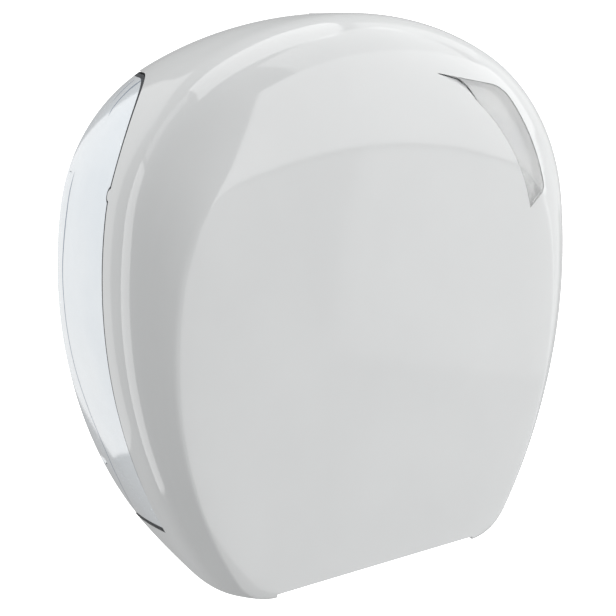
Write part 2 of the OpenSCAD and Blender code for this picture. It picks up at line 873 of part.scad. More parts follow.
wall_plate();
side_casing_left();
side_casing_right();
hinge_pin_left();
hinge_pin_right();
roll_spindle();
spindle_screws();
brake_washer();
retaining_washer();
retaining_screw();
latch_keeper();
keeper_screws();
roll_hub();
hub_bush_rear();
hub_bush_front();
cover_shell();
window_lens();
tear_strip();
lock_housing();
lock_nut();
lock_barrel();
latch_cam();
cam_screw();
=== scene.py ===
import math
import bmesh
import bpy
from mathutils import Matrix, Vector
from mathutils.bvhtree import BVHTree


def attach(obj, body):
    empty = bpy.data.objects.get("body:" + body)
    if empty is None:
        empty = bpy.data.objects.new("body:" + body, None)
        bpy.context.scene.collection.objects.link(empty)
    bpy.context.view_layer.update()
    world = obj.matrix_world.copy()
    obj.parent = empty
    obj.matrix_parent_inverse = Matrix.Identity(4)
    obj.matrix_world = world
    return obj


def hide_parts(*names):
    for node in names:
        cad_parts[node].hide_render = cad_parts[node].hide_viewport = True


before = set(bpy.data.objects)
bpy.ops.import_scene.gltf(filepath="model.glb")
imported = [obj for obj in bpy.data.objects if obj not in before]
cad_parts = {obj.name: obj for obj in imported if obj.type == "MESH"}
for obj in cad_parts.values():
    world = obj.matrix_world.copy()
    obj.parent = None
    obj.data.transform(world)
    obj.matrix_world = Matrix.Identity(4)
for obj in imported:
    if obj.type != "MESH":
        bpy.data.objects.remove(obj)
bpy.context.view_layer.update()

mm = 0.001
axisHeight = 172  # the origin is on the roll axis
mergeDistance = 0.002  # corners nearer than this become one


def addNode(tree, kind, settings=None, inputs=None):
    node = tree.nodes.new(kind)
    for name, value in (settings or {}).items():
        setattr(node, name, value)
    for name, value in (inputs or {}).items():
        if isinstance(value, bpy.types.Node):
            value = value.outputs[0]
        if isinstance(value, bpy.types.NodeSocket):
            tree.links.new(value, node.inputs[name])
        else:
            node.inputs[name].default_value = value
    return node


def linearColour(hexText):
    channels = [int(hexText[i:i + 2], 16) / 255 for i in (1, 3, 5)]
    return [c / 12.92 if c <= 0.04045 else ((c + 0.055) / 1.055) ** 2.4 for c in channels] + [1]


# Materials

def startMaterial(name):
    material = bpy.data.materials.new(name)
    material.use_nodes = True
    tree = material.node_tree
    tree.nodes.clear()
    shader = addNode(tree, "ShaderNodeBsdfPrincipled")
    addNode(tree, "ShaderNodeOutputMaterial", {}, {"Surface": shader})
    place = addNode(tree, "ShaderNodeTexCoord").outputs["Object"]
    return material, tree, shader, place


plasticHabits = {"cloudStart": 0.3, "cloudEnd": 0.7, "glossSpread": 0.15}


# Moulded plastic: a faint unevenness of colour, and a skin that copies the steel of the mould
def mouldedPlastic(name, look):
    material, tree, shader, place = startMaterial(name)
    cloud = addNode(tree, "ShaderNodeTexNoise", {}, {
        "Vector": place, "Scale": 1 / (look["cloudSize"] * mm), "Detail": 3})
    tint = addNode(tree, "ShaderNodeValToRGB", {}, {"Fac": cloud})
    stops = ("cloudStart", "shade"), ("cloudEnd", "colour")
    for stop, (position, colour) in zip(tint.color_ramp.elements, stops):
        stop.position, stop.color = plasticHabits[position], linearColour(look[colour])
    grain = addNode(tree, "ShaderNodeTexNoise", {}, {
        "Vector": place, "Scale": 1 / (look["grainSize"] * mm), "Detail": 2})
    spread = plasticHabits["glossSpread"]
    gloss = addNode(tree, "ShaderNodeMapRange", {}, {
        "Value": grain, "To Min": look["roughness"] * (1 - spread), "To Max": look["roughness"] * (1 + spread)})
    skin = addNode(tree, "ShaderNodeBump", {}, {
        "Height": grain, "Strength": look["grainStrength"], "Distance": look["grainDepth"] * mm})
    wave = addNode(tree, "ShaderNodeTexNoise", {}, {
        "Vector": place, "Scale": 1 / (look["waveSize"] * mm), "Detail": 0})
    swell = addNode(tree, "ShaderNodeBump", {}, {
        "Height": wave, "Normal": skin, "Strength": look["waveStrength"], "Distance": look["waveDepth"] * mm})
    for socket, value in (("Base Color", tint), ("Roughness", gloss), ("Normal", swell)):
        tree.links.new(value.outputs[0], shader.inputs[socket])
    shader.inputs["IOR"].default_value = look["ior"]
    shader.inputs["Coat Weight"].default_value = look.get("coat", 0)
    shader.inputs["Coat Roughness"].default_value = look.get("coatRoughness", 0.03)
    shader.inputs["Coat IOR"].default_value = look.get("coatIor", 1.5)
    shader.inputs["Transmission Weight"].default_value = look.get("clear", 0)
    return material


metalHabits = {"glossSpread": 0.3, "relief": 0.2}


# Turned or plated metal: fine marks and dull specks from the plating bath
def platedMetal(name, look):
    material, tree, shader, place = startMaterial(name)
    marks = addNode(tree, "ShaderNodeTexNoise", {}, {
        "Vector": place, "Scale": 1 / (look["markSize"] * mm), "Detail": 4})
    spread = metalHabits["glossSpread"]
    gloss = addNode(tree, "ShaderNodeMapRange", {}, {
        "Value": marks, "To Min": look["roughness"] * (1 - spread), "To Max": look["roughness"] * (1 + spread)})
    relief = addNode(tree, "ShaderNodeBump", {}, {
        "Height": marks, "Strength": metalHabits["relief"], "Distance": look["markDepth"] * mm})
    tint = addNode(tree, "ShaderNodeMix", {"data_type": "RGBA"}, {"Factor": marks})
    tint.inputs["A"].default_value = linearColour(look["shade"])
    tint.inputs["B"].default_value = linearColour(look["colour"])
    tree.links.new(tint.outputs["Result"], shader.inputs["Base Color"])
    tree.links.new(gloss.outputs[0], shader.inputs["Roughness"])
    tree.links.new(relief.outputs[0], shader.inputs["Normal"])
    shader.inputs["Metallic"].default_value = 1
    return material


# Pressed wool felt: short fibres that lie every way
def pressedFelt(name, look):
    material, tree, shader, place = startMaterial(name)
    stretched = addNode(tree, "ShaderNodeMapping", {}, {
        "Vector": place, "Scale": (1, look["fibreStretch"], 1)})
    fibres = addNode(tree, "ShaderNodeTexNoise", {}, {
        "Vector": stretched, "Scale": 1 / (look["fibreSize"] * mm), "Detail": 6})
    tint = addNode(tree, "ShaderNodeMix", {"data_type": "RGBA"}, {"Factor": fibres})
    tint.inputs["A"].default_value = linearColour(look["shade"])
    tint.inputs["B"].default_value = linearColour(look["colour"])
    relief = addNode(tree, "ShaderNodeBump", {}, {
        "Height": fibres, "Strength": look["fibreRelief"], "Distance": look["fibreDepth"] * mm})
    tree.links.new(tint.outputs["Result"], shader.inputs["Base Color"])
    tree.links.new(relief.outputs[0], shader.inputs["Normal"])
    shader.inputs["Roughness"].default_value = look["roughness"]
    shader.inputs["Sheen Weight"].default_value = look["sheen"]
    return material


# Polished ABS: mirror-like skin with the slight waviness of a large moulding
glossAbs = mouldedPlastic("polishedWhiteAbs", {
    "colour": "#D4D5D5", "shade": "#D1D2D2", "cloudSize": 60, "grainSize": 1.6, "grainStrength": 0.02,
    "grainDepth": 0.02, "waveSize": 38, "waveStrength": 0.04, "waveDepth": 0.5, "roughness": 0.07, "ior": 1.6})
# Spark-eroded ABS: an even fine grain that kills reflections; the grain is drawn 0.9 mm so that it shows
satinAbs = mouldedPlastic("satinWhiteAbs", {
    "colour": "#ECEDED", "shade": "#E4E6E7", "cloudSize": 45, "grainSize": 0.9, "grainStrength": 0.35,
    "grainDepth": 0.06, "waveSize": 30, "waveStrength": 0.03, "waveDepth": 0.4, "roughness": 0.45, "ior": 1.54})
# Glass-filled nylon: greyer, with a dry look from the fibres at the surface
filledNylon = mouldedPlastic("filledGreyNylon", {
    "colour": "#D9DBDC", "shade": "#CDD0D2", "cloudSize": 8, "grainSize": 0.7, "grainStrength": 0.5,
    "grainDepth": 0.05, "waveSize": 20, "waveStrength": 0.03, "waveDepth": 0.3, "roughness": 0.5, "ior": 1.53})
# Acetal: waxy ivory with a soft shine
acetal = mouldedPlastic("ivoryAcetal", {
    "colour": "#EFEADB", "shade": "#E8E2D0", "cloudSize": 12, "grainSize": 0.8, "grainStrength": 0.12,
    "grainDepth": 0.03, "waveSize": 15, "waveStrength": 0.03, "waveDepth": 0.2, "roughness": 0.3, "ior": 1.48})
# Clear polycarbonate with a blue tint, frosted inside; both of its faces mirror, which a strong coat stands for
blueClear = mouldedPlastic("bluePolycarbonate", {
    "colour": "#F2F8FD", "shade": "#EAF2F9", "cloudSize": 40, "grainSize": 2, "grainStrength": 0.03,
    "grainDepth": 0.03, "waveSize": 26, "waveStrength": 0.2, "waveDepth": 0.8, "roughness": 0.09, "ior": 1.585,
    "clear": 0.12, "coat": 1, "coatIor": 1.75, "coatRoughness": 0.08})
# Dark painted shade of the gap between the casing and the cover, laid on the casing's cut faces and on a thin strip
# along the seam and round the notch
gapShadeFinish = mouldedPlastic("paintedSeamGapShade", {
    "colour": "#1A2028", "shade": "#12171D", "cloudSize": 6, "grainSize": 0.8, "grainStrength": 0.1,
    "grainDepth": 0.02, "waveSize": 10, "waveStrength": 0.02, "waveDepth": 0.2, "roughness": 0.5, "ior": 1.4})
# Painted shade lines inside the blue casing: a blue-grey strip that stands for shade seen through the sheet
shadeLineFinish = mouldedPlastic("paintedCasingShadeLines", {
    "colour": "#7C8999", "shade": "#6C798B", "cloudSize": 6, "grainSize": 0.8, "grainStrength": 0.1,
    "grainDepth": 0.02, "waveSize": 10, "waveStrength": 0.02, "waveDepth": 0.2, "roughness": 0.25, "ior": 1.585})
# Clear SAN of the window: neutral, a little milky
lensClear = mouldedPlastic("milkySan", {
    "colour": "#F1F2F0", "shade": "#E4E5E6", "cloudSize": 22, "grainSize": 2, "grainStrength": 0.03,
    "grainDepth": 0.03, "waveSize": 24, "waveStrength": 0.2, "waveDepth": 0.6, "roughness": 0.2, "ior": 1.57,
    "coat": 1, "coatRoughness": 0.03, "clear": 0.75})
# Black nylon barrel: deep, with a low shine
blackNylon = mouldedPlastic("blackNylon", {
    "colour": "#2A2D31", "shade": "#1F2226", "cloudSize": 4, "grainSize": 0.6, "grainStrength": 0.3,
    "grainDepth": 0.03, "waveSize": 8, "waveStrength": 0.03, "waveDepth": 0.1, "roughness": 0.35, "ior": 1.53})
# Bright zinc plate on steel: bluish, finely mottled
zincPlate = platedMetal("brightZincPlate", {
    "colour": "#C9CDD2", "shade": "#A9AEB5", "markSize": 0.9, "markDepth": 0.02, "roughness": 0.28})
# Cold-rolled steel sheet of the keeper and cam, plated dull
dullSteel = platedMetal("dullPlatedSteel", {
    "colour": "#B9BCBF", "shade": "#979B9F", "markSize": 2.2, "markDepth": 0.03, "roughness": 0.42})
greyFelt = pressedFelt("greyWoolFelt", {
    "colour": "#85888A", "shade": "#55585B", "fibreSize": 0.8, "fibreStretch": 4, "fibreRelief": 0.8,
    "fibreDepth": 0.3, "roughness": 0.95, "sheen": 0.4})
print("materials made:", len(bpy.data.materials))


# Solids that the pieces are cut from

# Where a cutting prism ends past the body: to each side, behind the wall, under the floor and over the crown
pastSide, pastWall, pastFloor, pastCrown = 200, -20, -10, 400


def meshObject(name, vertices, faces, edges=()):
    mesh = bpy.data.meshes.new(name)
    mesh.from_pydata(vertices, edges, faces)
    piece = bpy.data.objects.new(name, mesh)
    bpy.context.scene.collection.objects.link(piece)
    return piece


def tidyMesh(piece, closeHoles=False):
    work = bmesh.new()
    work.from_mesh(piece.data)
    bmesh.ops.remove_doubles(work, verts=work.verts, dist=mergeDistance * mm)
    if closeHoles:
        bmesh.ops.holes_fill(work, edges=[e for e in work.edges if e.is_boundary])
    bmesh.ops.recalc_face_normals(work, faces=work.faces)
    work.to_mesh(piece.data)
    work.free()
    return piece


# Turns what the modifiers make into a plain mesh and takes the modifiers off
def bake(piece):
    graph = bpy.context.evaluated_depsgraph_get()
    mesh = bpy.data.meshes.new_from_object(piece.evaluated_get(graph))
    piece.modifiers.clear()
    old = piece.data
    piece.data = mesh
    mesh.name = piece.name
    bpy.data.meshes.remove(old)
    return piece


def combine(piece, tool, operation="DIFFERENCE", keepTool=False):
    step = piece.modifiers.new("cut", "BOOLEAN")
    step.operation, step.solver, step.object = operation, "MANIFOLD", tool
    bake(piece)
    if not keepTool:
        bpy.data.objects.remove(tool)
    return piece


def acrossPlace(depth, height, x):
    return (x * mm, -depth * mm, (height - axisHeight) * mm)


def forwardPlace(x, height, depth):
    return (x * mm, -depth * mm, (height - axisHeight) * mm)


def upPlace(x, depth, height):
    return (x * mm, -depth * mm, (height - axisHeight) * mm)


# A flat drawing swept from start to end along the third direction of its place
def prism(drawing, start, end, place):
    count = len(drawing)
    vertices = [place(u, v, w) for w in (start, end) for u, v in drawing]
    sides = [(i, (i + 1) % count, (i + 1) % count + count, i + count) for i in range(count)]
    ends = [tuple(range(count)), tuple(range(count, 2 * count))]
    return tidyMesh(meshObject("prism", vertices, ends + sides))


def rectangle(left, right, low, high):
    return [(left, low), (right, low), (right, high), (left, high)]


def circle(u, v, radius, count=64):
    return [(u + radius * math.cos(2 * math.pi * i / count), v + radius * math.sin(2 * math.pi * i / count))
            for i in range(count)]


bluntest = 0.6  # a corner moves at most 1 / bluntest times as far as the sides


# Moves every side of a drawing outwards, or inwards where by is negative; sharp tips are blunted
def grow(drawing, by):
    area = sum(a[0] * b[1] - b[0] * a[1] for a, b in zip(drawing, drawing[1:] + drawing[:1]))
    turn = 1 if area > 0 else -1
    grown = []
    for i, point in enumerate(drawing):
        before = Vector(point) - Vector(drawing[i - 1])
        after = Vector(drawing[(i + 1) % len(drawing)]) - Vector(point)
        n1 = Vector((before.y, -before.x)).normalized() * turn
        n2 = Vector((after.y, -after.x)).normalized() * turn
        middle = (n1 + n2).normalized()
        grown.append(tuple(Vector(point) + middle * by / max(middle.dot(n1), bluntest)))
    return grown


# The body's form

bodyForm = {
    "height": 325, "width": 306, "depth": 130,
    "arcs": ((193, 27), (115, 53), (300, 40), (33, 60)),  # radius and angle from the crown to the floor
    "backShare": 0.97, "girth": 78, "edgePower": 9, "facePower": 4.6,
    "rings": 84, "sidePart": 0.22,
    # steps along the four arcs: of a piece, and where the full size, a side or the floor is only measured
    "arcSteps": (34, 52, 60, 34), "sizeSteps": (400, 400, 400, 1), "sideSteps": (40, 60, 60, 40),
    "floorSteps": (4, 4, 4, 8),
    # soft crease where the front face turns into the sides: it fades out between two heights of the outline
    "creaseShare": 0.85, "creaseEnd": 0.925, "creaseRise": 2.4, "creasePower": 8, "creaseFade": (250, 312),
}


def arcPoints(inset, steps):
    points, heading = [(0.0, -float(inset))], 0.0
    centre = Vector((0, -bodyForm["arcs"][0][0]))
    for k, (radius, angle) in enumerate(bodyForm["arcs"]):
        if k:
            turned = math.radians(heading)
            centre += (bodyForm["arcs"][k - 1][0] - radius) * Vector((math.sin(turned), math.cos(turned)))
        for i in range(1, steps[k] + 1):
            at = math.radians(heading + angle * i / steps[k])
            points.append((centre.x + (radius - inset) * math.sin(at), centre.y + (radius - inset) * math.cos(at)))
        heading += angle
    return points, centre


def bodyOutline(inset, steps):
    plain, lastCentre = arcPoints(0, bodyForm["sizeSteps"])
    plainHeight = bodyForm["arcs"][3][0] - lastCentre.y
    half, _ = arcPoints(inset, steps)
    wide = bodyForm["width"] / 2 / max(p[0] for p in plain)
    tall = bodyForm["height"] / plainHeight
    half = [(x * wide, (plainHeight + h) * tall) for x, h in half]
    return half + [(-x, h) for x, h in half[:0:-1]]


floorHalf = max(x for x, h in bodyOutline(0, bodyForm["floorSteps"]) if abs(h) < 0.01)


def shareAt(depth):
    back = bodyForm["backShare"]
    return back + (1 - back) * (1 - (1 - min(depth, bodyForm["girth"]) / bodyForm["girth"]) ** 2)


def faceDepth(share):
    girth = bodyForm["girth"]
    rise = (1 - min(share, 1) ** bodyForm["edgePower"]) ** (1 / bodyForm["facePower"])
    start, end = bodyForm["creaseShare"], bodyForm["creaseEnd"]
    bump = (share / start) ** bodyForm["creasePower"] if share < start else max(0, (end - share) / (end - start))
    return girth + (bodyForm["depth"] - girth) * rise + bodyForm["creaseRise"] * bump


# Node tree that sweeps the outline forward: it swells to the girth, then shrinks to the middle of the floor
def buildLoftTree():
    tree = bpy.data.node_groups.new("bodyLoft", "GeometryNodeTree")
    sockets = [("Outline", "NodeSocketGeometry"), ("Count", "NodeSocketInt"), ("Rings", "NodeSocketInt")]
    sockets += [(n, "NodeSocketFloat") for n in (
        "Depth", "Girth", "Back share", "Edge power", "Face power", "Side part", "Inset", "Back", "Floor",
        "Crease share", "Crease end", "Crease rise", "Crease power", "Fade start", "Fade end")]
    sockets.append(("Finish", "NodeSocketMaterial"))
    for name, kind in sockets:
        tree.interface.new_socket(name=name, in_out="INPUT", socket_type=kind)
    tree.interface.new_socket(name="Skin", in_out="OUTPUT", socket_type="NodeSocketGeometry")
    start = addNode(tree, "NodeGroupInput").outputs
    columns = addNode(tree, "ShaderNodeMath", {"operation": "ADD"}, {0: start["Count"], 1: 1})
    grid = addNode(tree, "GeometryNodeMeshGrid", {}, {
        "Size X": 1, "Size Y": 1, "Vertices X": columns, "Vertices Y": start["Rings"]})
    spot = addNode(tree, "ShaderNodeSeparateXYZ", {}, {"Vector": addNode(tree, "GeometryNodeInputPosition")}).outputs
    along = addNode(tree, "ShaderNodeMath", {"operation": "ADD"}, {0: spot["X"], 1: 0.5})
    rise = addNode(tree, "ShaderNodeMath", {"operation": "ADD"}, {0: spot["Y"], 1: 0.5})
    column = addNode(tree, "ShaderNodeMath", {"operation": "MULTIPLY"}, {0: along, 1: start["Count"]})
    rounded = addNode(tree, "ShaderNodeMath", {"operation": "ROUND"}, {0: column})
    wrapped = addNode(tree, "ShaderNodeMath", {"operation": "MODULO"}, {0: rounded, 1: start["Count"]})
    edge = addNode(tree, "GeometryNodeSampleIndex", {"data_type": "FLOAT_VECTOR"}, {
        "Geometry": start["Outline"], "Value": addNode(tree, "GeometryNodeInputPosition"), "Index": wrapped})
    edgeSpot = addNode(tree, "ShaderNodeSeparateXYZ", {}, {"Vector": edge}).outputs
    sideRise = addNode(tree, "ShaderNodeMapRange", {}, {"Value": rise, "From Max": start["Side part"]})
    frontRise = addNode(tree, "ShaderNodeMapRange", {}, {
        "Value": rise, "From Min": start["Side part"], "To Max": math.pi / 2})
    # share of the outline behind the girth
    left = addNode(tree, "ShaderNodeMath", {"operation": "SUBTRACT"}, {0: 1, 1: sideRise})
    square = addNode(tree, "ShaderNodeMath", {"operation": "POWER"}, {0: left, 1: 2})
    gone = addNode(tree, "ShaderNodeMath", {"operation": "SUBTRACT"}, {0: 1, 1: start["Back share"]})
    lost = addNode(tree, "ShaderNodeMath", {"operation": "MULTIPLY"}, {0: gone, 1: square})
    sideShare = addNode(tree, "ShaderNodeMath", {"operation": "SUBTRACT"}, {0: 1, 1: lost})
    # share and depth in front of it, as a quarter of a squarish ellipse
    cosine = addNode(tree, "ShaderNodeMath", {"operation": "COSINE"}, {0: frontRise})
    cosineSafe = addNode(tree, "ShaderNodeMath", {"operation": "MAXIMUM"}, {0: cosine, 1: 0})
    edgeRoot = addNode(tree, "ShaderNodeMath", {"operation": "DIVIDE"}, {0: 2, 1: start["Edge power"]})
    frontShare = addNode(tree, "ShaderNodeMath", {"operation": "POWER"}, {0: cosineSafe, 1: edgeRoot})
    sine = addNode(tree, "ShaderNodeMath", {"operation": "SINE"}, {0: frontRise})
    faceRoot = addNode(tree, "ShaderNodeMath", {"operation": "DIVIDE"}, {0: 2, 1: start["Face power"]})
    frontDepth = addNode(tree, "ShaderNodeMath", {"operation": "POWER"}, {0: sine, 1: faceRoot})
    reach = addNode(tree, "ShaderNodeMath", {"operation": "SUBTRACT"}, {0: start["Depth"], 1: start["Girth"]})
    beyond = addNode(tree, "ShaderNodeMath", {"operation": "MULTIPLY"}, {0: reach, 1: frontDepth})
    plain = addNode(tree, "ShaderNodeMath", {"operation": "MULTIPLY_ADD"}, {0: start["Girth"], 1: sideRise, 2: beyond})
    # the crease: it rises slowly from the middle of the face and falls fast outside its own share
    inside = addNode(tree, "ShaderNodeMath", {"operation": "DIVIDE"}, {0: frontShare, 1: start["Crease share"]})
    climb = addNode(tree, "ShaderNodeMath", {"operation": "POWER"}, {0: inside, 1: start["Crease power"]})
    fall = addNode(tree, "ShaderNodeMapRange", {}, {
        "Value": frontShare, "From Min": start["Crease share"], "From Max": start["Crease end"],
        "To Min": 1, "To Max": 0})
    bump = addNode(tree, "ShaderNodeMath", {"operation": "MINIMUM"}, {0: climb, 1: fall})
    fade = addNode(tree, "ShaderNodeMapRange", {"interpolation_type": "SMOOTHSTEP"}, {
        "Value": edgeSpot["Y"], "From Min": start["Fade start"], "From Max": start["Fade end"],
        "To Min": 1, "To Max": 0})
    height = addNode(tree, "ShaderNodeMath", {"operation": "MULTIPLY"}, {0: start["Crease rise"], 1: fade})
    depth = addNode(tree, "ShaderNodeMath", {"operation": "MULTIPLY_ADD"}, {0: height, 1: bump, 2: plain})
    share = addNode(tree, "ShaderNodeMath", {"operation": "MULTIPLY"}, {0: sideShare, 1: frontShare})
    x = addNode(tree, "ShaderNodeMath", {"operation": "MULTIPLY"}, {0: edgeSpot["X"], 1: share})
    z = addNode(tree, "ShaderNodeMath", {"operation": "MULTIPLY_ADD"}, {0: edgeSpot["Y"], 1: share, 2: start["Floor"]})
    frontY = addNode(tree, "ShaderNodeMath", {"operation": "SUBTRACT"}, {0: start["Inset"], 1: depth})
    # the first ring lies at the back and closes the sides there
    first = addNode(tree, "ShaderNodeMath", {"operation": "LESS_THAN"}, {0: rise, 1: 0.0001})
    y = addNode(tree, "GeometryNodeSwitch", {"input_type": "FLOAT"}, {
        "Switch": first, "False": frontY, "True": start["Back"]})
    place = addNode(tree, "ShaderNodeCombineXYZ", {}, {"X": x, "Y": y, "Z": z})
    moved = addNode(tree, "GeometryNodeSetPosition", {}, {"Geometry": grid.outputs["Mesh"], "Position": place})
    closed = addNode(tree, "GeometryNodeMergeByDistance", {}, {"Geometry": moved, "Distance": mergeDistance * mm})
    real = addNode(tree, "GeometryNodeRealizeInstances", {}, {"Geometry": closed})
    finished = addNode(tree, "GeometryNodeSetMaterial", {}, {"Geometry": real, "Material": start["Finish"]})
    addNode(tree, "NodeGroupOutput", {}, {0: finished})
    return tree


loftTree = buildLoftTree()


def setInputs(step, values):
    names = {item.name: item.identifier for item in step.node_group.interface.items_tree if item.in_out == "INPUT"}
    for name, value in values.items():
        step[names[name]] = value


def bodySolid(inset, back, finish):
    outline = [(x * mm, h * mm, 0) for x, h in bodyOutline(inset, bodyForm["arcSteps"])]
    piece = meshObject("bodySolid", outline, [])
    step = piece.modifiers.new("loft", "NODES")
    step.node_group = loftTree
    setInputs(step, {
        "Count": len(outline), "Rings": bodyForm["rings"],
        "Depth": bodyForm["depth"] * mm, "Girth": bodyForm["girth"] * mm, "Back share": bodyForm["backShare"],
        "Edge power": float(bodyForm["edgePower"]), "Face power": bodyForm["facePower"],
        "Side part": bodyForm["sidePart"], "Inset": inset * mm, "Back": back * mm, "Floor": -axisHeight * mm,
        "Crease share": bodyForm["creaseShare"], "Crease end": bodyForm["creaseEnd"],
        "Crease rise": bodyForm["creaseRise"] * mm, "Crease power": float(bodyForm["creasePower"]),
        "Fade start": bodyForm["creaseFade"][0] * mm, "Fade end": bodyForm["creaseFade"][1] * mm, "Finish": finish})
    return tidyMesh(bake(piece), closeHoles=True)


# Seam and window drawings

seam = {"foot": 11, "lowDepth": 95.5, "lowHeight": 41, "depth": 86, "bendRadius": 55, "crownDrop": 34, "bendSteps": 30}


def seamDrawing():
    top = bodyForm["height"] - seam["crownDrop"]
    slope = (seam["lowHeight"] - seam["foot"]) / seam["lowDepth"]
    turns = [math.radians(90 * i / seam["bendSteps"]) for i in range(seam["bendSteps"] + 1)]
    depth, radius = seam["depth"], seam["bendRadius"]
    bend = [(depth - radius * (1 - math.cos(turn)), top - radius * (1 - math.sin(turn))) for turn in turns]
    foot = (pastFloor, seam["foot"] + pastFloor * slope)
    return [foot, (seam["lowDepth"], seam["lowHeight"])] + bend + [(pastFloor, top)]


window = {
    "inset": 43.4, "drop": 140.6, "radius": 116.4, "lowAngle": 13.2, "highAngle": 67.9, "arcSteps": 40,
    "topLength": 42, "topHeading": -10, "cutStart": 60, "keepStart": 80,  # depths where its prisms start
    "turns": ((25, 40, 12), (116.4, 28, 20), (7, 72, 14)),  # radius, angle and steps of each bend after the corner
}


def direction(degrees):
    return Vector((math.cos(math.radians(degrees)), math.sin(math.radians(degrees))))


def onWindowArc(degrees):
    middle = bodyForm["width"] / 2 - window["inset"] - window["radius"], bodyForm["height"] - window["drop"]
    return Vector(middle) + window["radius"] * direction(degrees)


def windowDrawing():
    low, high, count = window["lowAngle"], window["highAngle"], window["arcSteps"]
    points = [onWindowArc(low + (high - low) * i / count) for i in range(count + 1)]
    heading = window["topHeading"]
    spot = points[-1] + window["topLength"] * direction(heading)
    points.append(spot)
    for radius, angle, steps in window["turns"]:
        start = math.radians(heading)
        for i in range(1, steps + 1):
            now = math.radians(heading - angle * i / steps)
            points.append(spot + radius * Vector((math.sin(start) - math.sin(now), math.cos(now) - math.cos(start))))
        spot = points[-1]
        heading -= angle
    return [tuple(p) for p in points]


# Finishing a piece

flat = 0.03  # how far a cut face's normal may lean sideways

# Gives a second finish to the faces that a cut along the X direction has left; on the casings this is the dark painted
# shade of the seam gap
def finishCutEdges(piece, finish, keepBehind=1.0):
    piece.data.materials.append(finish)
    for face in piece.data.polygons:
        if abs(face.normal.x) < flat and -face.center.y > keepBehind * mm:
            face.material_index = 1


def finishPiece(piece, name, material, body, node=None, sharpAngle=32):
    piece.name = name
    piece.data.name = name
    piece.data.materials.clear()
    piece.data.materials.append(material)
    piece.data.shade_smooth()
    piece.data.set_sharp_from_angle(angle=math.radians(sharpAngle))
    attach(piece, body)
    if node:
        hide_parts(node)
    print("made", name, len(piece.data.polygons), "faces")
    return piece


# Cover

cover = {
    "wall": 3, "backOpen": 6, "wallGap": 1, "seamGap": 1,
    # rear cuts round the hinge, as far as depth and up to height
    "rearCut": (7.05, 15.9), "hingeRoom": (14, 12), "hingeRoomSide": 1.4,
    "hingeDepth": 7, "hingeHeight": 6.5, "hingeX": 80, "earWidth": 5, "earRadius": 5.2, "earLength": 24,
    "earSteps": 48, "pinRadius": 2.05,
    "outletHalf": 74, "outletLip": 2.5, "outletHeight": 6, "outletSteps": 16, "outletRear": 65, "outletTop": 5,
    "lipCut": 2, "stripHalf": 71, "stripSide": 0.4, "stripGap": 0.3, "stripWall": 2.2,
    # stakes that hold the tear strip: radius and the places of shank and head behind the strip
    "stakeX": (-52, 0, 52), "stakeHeight": 9, "stakeSteps": 32, "shank": (1.5, 1.6, 1), "head": (2.8, 1.4, 0.2),
    "lockDepth": 67, "padRadius": 15, "padWall": 2.4, "padSunk": 0.6, "boreRadius": 8.8, "boreStart": 1,
    "bezelRadius": 11.2, "bezelWall": 1.4,
    "pastSkin": 5, "lugRadius": 3.2, "lugSteps": 40, "lugHeight": 233, "lugAhead": 1.2, "lugInset": 0.1, "lugWall": 2.6,
}


def coverCuts():
    depth, wall = bodyForm["depth"], cover["wall"]
    room = cover["hingeX"] + 1.5 * cover["earWidth"] + cover["hingeRoomSide"]
    strip = cover["stripHalf"] + cover["stripSide"]
    # half width, depth and height of the boxes cut from the rear and the floor
    boxes = [(pastSide, cover["wallGap"], pastCrown), (pastSide, *cover["rearCut"]), (room, *cover["hingeRoom"]),
             (cover["outletHalf"], depth - wall - cover["outletLip"], cover["outletHeight"]),
             (strip, depth + cover["pastSkin"], cover["lipCut"])]
    return [prism(rectangle(-half, half, pastWall, far), pastFloor, high, upPlace) for half, far, high in boxes]


# Outlet: its front edge follows the inside of the face
def outletCut():
    half, steps = cover["outletHalf"], cover["outletSteps"]
    across = [half * i / steps for i in range(-steps, steps + 1)]
    plan = [(x, faceDepth(abs(x) / floorHalf) - cover["wall"]) for x in across]
    rear = [(half, cover["outletRear"]), (-half, cover["outletRear"])]
    return prism(plan + rear, pastFloor, cover["outletTop"], upPlace)


def addHingeEar(skin, side):
    depth, height, ear, width = cover["hingeDepth"], cover["hingeHeight"], cover["earRadius"], cover["earWidth"]
    front, middle = depth + cover["earLength"], side * cover["hingeX"]
    shapes = [circle(depth, height, ear, cover["earSteps"]), rectangle(depth, front, height - ear, height + ear),
              rectangle(depth + 2 * ear, front, 0, height)]
    for shape in shapes:
        combine(skin, prism(shape, middle - width / 2, middle + width / 2, acrossPlace), "UNION")
    pinHole = circle(depth, height, cover["pinRadius"], cover["earSteps"])
    combine(skin, prism(pinHole, middle - width, middle + width, acrossPlace))


def addStake(skin, x):
    front = faceDepth(abs(x) / floorHalf) - cover["wall"]
    rear = front - cover["stripGap"] - cover["stripWall"]
    height, steps = cover["stakeHeight"], cover["stakeSteps"]
    radius, past, sunk = cover["shank"]
    combine(skin, prism(circle(x, height, radius, steps), rear - past, front + sunk, forwardPlace), "UNION")
    radius, far, near = cover["head"]
    combine(skin, prism(circle(x, height, radius, steps), rear - far, rear - near, forwardPlace), "UNION")


# White lugs that fill the notches of the casings
def makeLugs():
    place = seam["depth"] + cover["lugAhead"], cover["lugHeight"]
    lugs = bodySolid(cover["lugInset"], 0, glossAbs)
    rods = circle(*place, cover["lugRadius"], cover["lugSteps"])
    combine(lugs, prism(rods, -pastSide, pastSide, acrossPlace), "INTERSECT")
    return combine(lugs, bodySolid(cover["lugWall"], cover["backOpen"], glossAbs))


